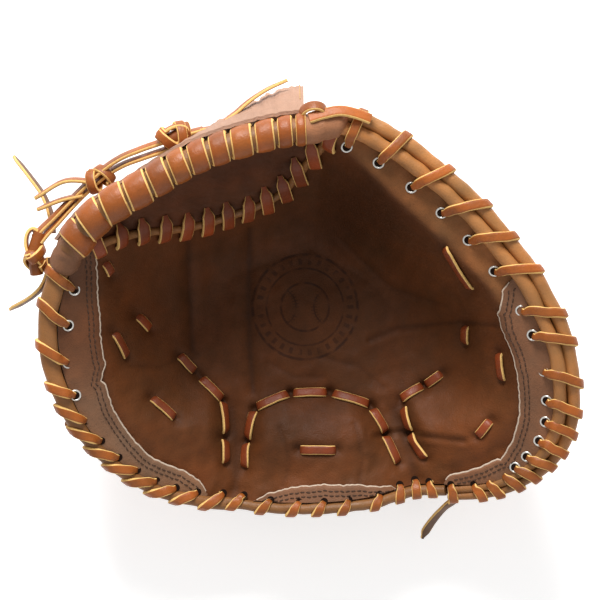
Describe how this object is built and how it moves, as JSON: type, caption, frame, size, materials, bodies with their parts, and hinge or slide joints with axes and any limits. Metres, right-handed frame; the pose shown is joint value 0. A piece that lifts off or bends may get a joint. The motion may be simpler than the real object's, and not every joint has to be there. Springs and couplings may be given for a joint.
{
  "type": "baseball catchers mitt",
  "caption": "Open leather catcher's mitt with a deep round pocket, padded thumb, heel and finger bands, a laced web with a rolled top, open wrist and free lace ends.",
  "frame": {"origin": "under the centre of the mitt's box, measured without the free lace ends, on the surface the back rests on", "axes": "+X from the thumb towards the little finger, +Y from the wrist towards the web, +Z out of the pocket"},
  "size_m": [0.3176, 0.2562, 0.1489],
  "materials": {
    "pocket_leather": "oiled and worn",
    "rim_leather": "worn satin",
    "back_leather": "satin",
    "web_back_leather": "matte, unfinished side",
    "lace_leather": "satin, with raw pale edges",
    "felt": "matte felt",
    "fleece": "short pile",
    "lining": "matte",
    "plastic": "matte"
  },
  "bodies": {
    "palm": {"palm_leather": "pocket_leather", "palm_pad": "felt", "heel_pad": "felt", "palm_lining": "lining", "centre_back_panel": "back_leather", "wrist_strap": "back_leather", "wrist_fleece": "fleece", "web_front_panel": "pocket_leather", "web_back_panel": "web_back_leather", "web_top_roll": "rim_leather", "web_binding_lace": "lace_leather", "web_seam_lace": "lace_leather", "heel_overlay": "rim_leather", "heel_welt": "rim_leather", "heel_edge_lace": "lace_leather", "heel_arch_lace": "lace_leather", "heel_tie_lace": "lace_leather", "web_knot": "lace_leather", "web_strands": "lace_leather", "web_tail": "lace_leather"},
    "thumb": {"thumb_pad": "felt", "thumb_lining": "lining", "thumb_stiffener": "plastic", "thumb_overlay": "rim_leather", "thumb_edge_strip": "rim_leather", "thumb_edge_lace": "lace_leather", "thumb_back_panel": "back_leather", "thumb_groove_lace": "lace_leather", "thumb_tie_lace_1": "lace_leather", "thumb_tie_lace_2": "lace_leather", "thumb_tie_lace_3": "lace_leather", "thumb_tie_lace_4": "lace_leather", "left_knot": "lace_leather", "left_upper_tail": "lace_leather", "left_lower_tail": "lace_leather"},
    "fingers": {"finger_pad": "felt", "finger_lining": "lining", "finger_stiffener": "plastic", "finger_overlay": "rim_leather", "finger_inner_welt": "rim_leather", "finger_outer_welt": "rim_leather", "finger_edge_lace": "lace_leather", "index_back_panel": "back_leather", "middle_back_panel": "back_leather", "ring_back_panel": "back_leather", "little_back_panel": "back_leather", "index_middle_wall": "lining", "middle_ring_wall": "lining", "ring_little_wall": "lining", "finger_groove_lace": "lace_leather", "finger_tie_lace_1": "lace_leather", "finger_tie_lace_2": "lace_leather", "finger_tie_lace_3": "lace_leather", "finger_tie_lace_4": "lace_leather", "heel_tail": "lace_leather"}
  },
  "joints": [
    {"name": "thumb_flex", "type": "hinge", "parent": "palm", "child": "thumb", "pos_m": [-0.0357, -0.0231, 0.051], "axis": [0.0616, 0.998, 0.0123], "range_deg": [0, 25], "deforming": ["palm_leather", "web_front_panel", "web_back_panel", "web_top_roll", "web_binding_lace", "web_seam_lace", "web_knot", "web_strands", "web_tail"]},
    {"name": "finger_flex", "type": "hinge", "parent": "palm", "child": "fingers", "pos_m": [0.0248, -0.0191, 0.051], "axis": [0.4651, -0.8852, -0.0115], "range_deg": [0, 20], "deforming": ["palm_leather", "web_front_panel", "web_back_panel", "web_top_roll", "web_binding_lace", "web_seam_lace", "web_knot", "web_strands", "web_tail"]}
  ]
}
